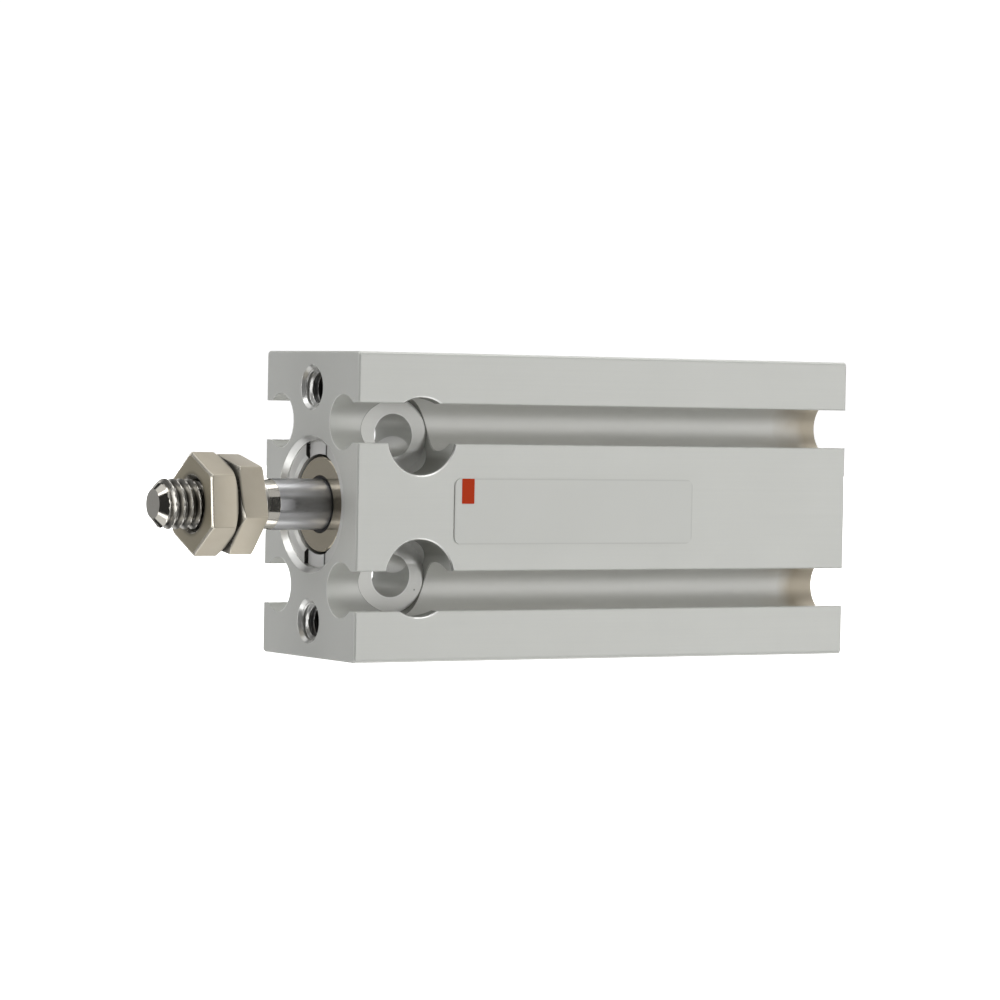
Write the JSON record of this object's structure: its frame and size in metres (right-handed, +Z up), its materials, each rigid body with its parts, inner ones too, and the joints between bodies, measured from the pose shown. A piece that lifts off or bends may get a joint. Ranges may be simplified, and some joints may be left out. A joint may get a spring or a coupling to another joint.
{
  "type": "compact pneumatic cylinder",
  "caption": "Small double-acting air cylinder with a flat block body, keyhole switch grooves, counterbored side holes and a threaded rod that carries a pair of jam nuts.",
  "frame": {"origin": "centre of the front mounting face, on the axis of the rod, midway between the two front tapped holes", "axes": "+X along the body away from the rod end, +Y across the narrow way of the block, +Z up along the tall way"},
  "size_m": [0.0597, 0.0151, 0.024],
  "materials": {
    "anodised_aluminium": "matte clear anodised",
    "turned_aluminium": "turned",
    "plated_brass": "nickel plated",
    "bearing_bronze": "sintered",
    "piston_brass": "turned",
    "nitrile_rubber": "moulded",
    "bumper_rubber": "moulded",
    "spring_steel": "phosphated",
    "polished_rod_steel": "ground and polished",
    "nickel_plated_steel": "nickel plated",
    "bonded_magnet": "moulded",
    "label_film": "satin film"
  },
  "bodies": {
    "barrel": {"cylinder_body": "anodised_aluminium", "rod_bush": "bearing_bronze", "rod_seal": "nitrile_rubber", "seal_cover": "plated_brass", "gland_ring": "turned_aluminium", "front_bumper": "bumper_rubber", "rear_bumper": "bumper_rubber", "head_cover": "turned_aluminium", "head_gasket": "nitrile_rubber", "snap_ring": "spring_steel", "label_film": "label_film"},
    "packing": {"piston_seal": "nitrile_rubber"},
    "rod": {"piston_rod": "polished_rod_steel", "piston_front": "piston_brass", "piston_magnet": "bonded_magnet", "piston_rear": "piston_brass", "piston_gasket": "nitrile_rubber", "piston_nut": "nickel_plated_steel", "rod_nut_inner": "nickel_plated_steel", "rod_nut_outer": "nickel_plated_steel"}
  },
  "joints": [
    {"name": "rod_slide", "type": "slide", "parent": "barrel", "child": "packing", "axis": [-1, 0, 0], "range_m": [0, 0.01]},
    {"name": "rod_turn", "type": "hinge", "parent": "packing", "child": "rod", "pos_m": [0, 0, 0], "axis": [1, 0, 0], "continuous": true}
  ]
}
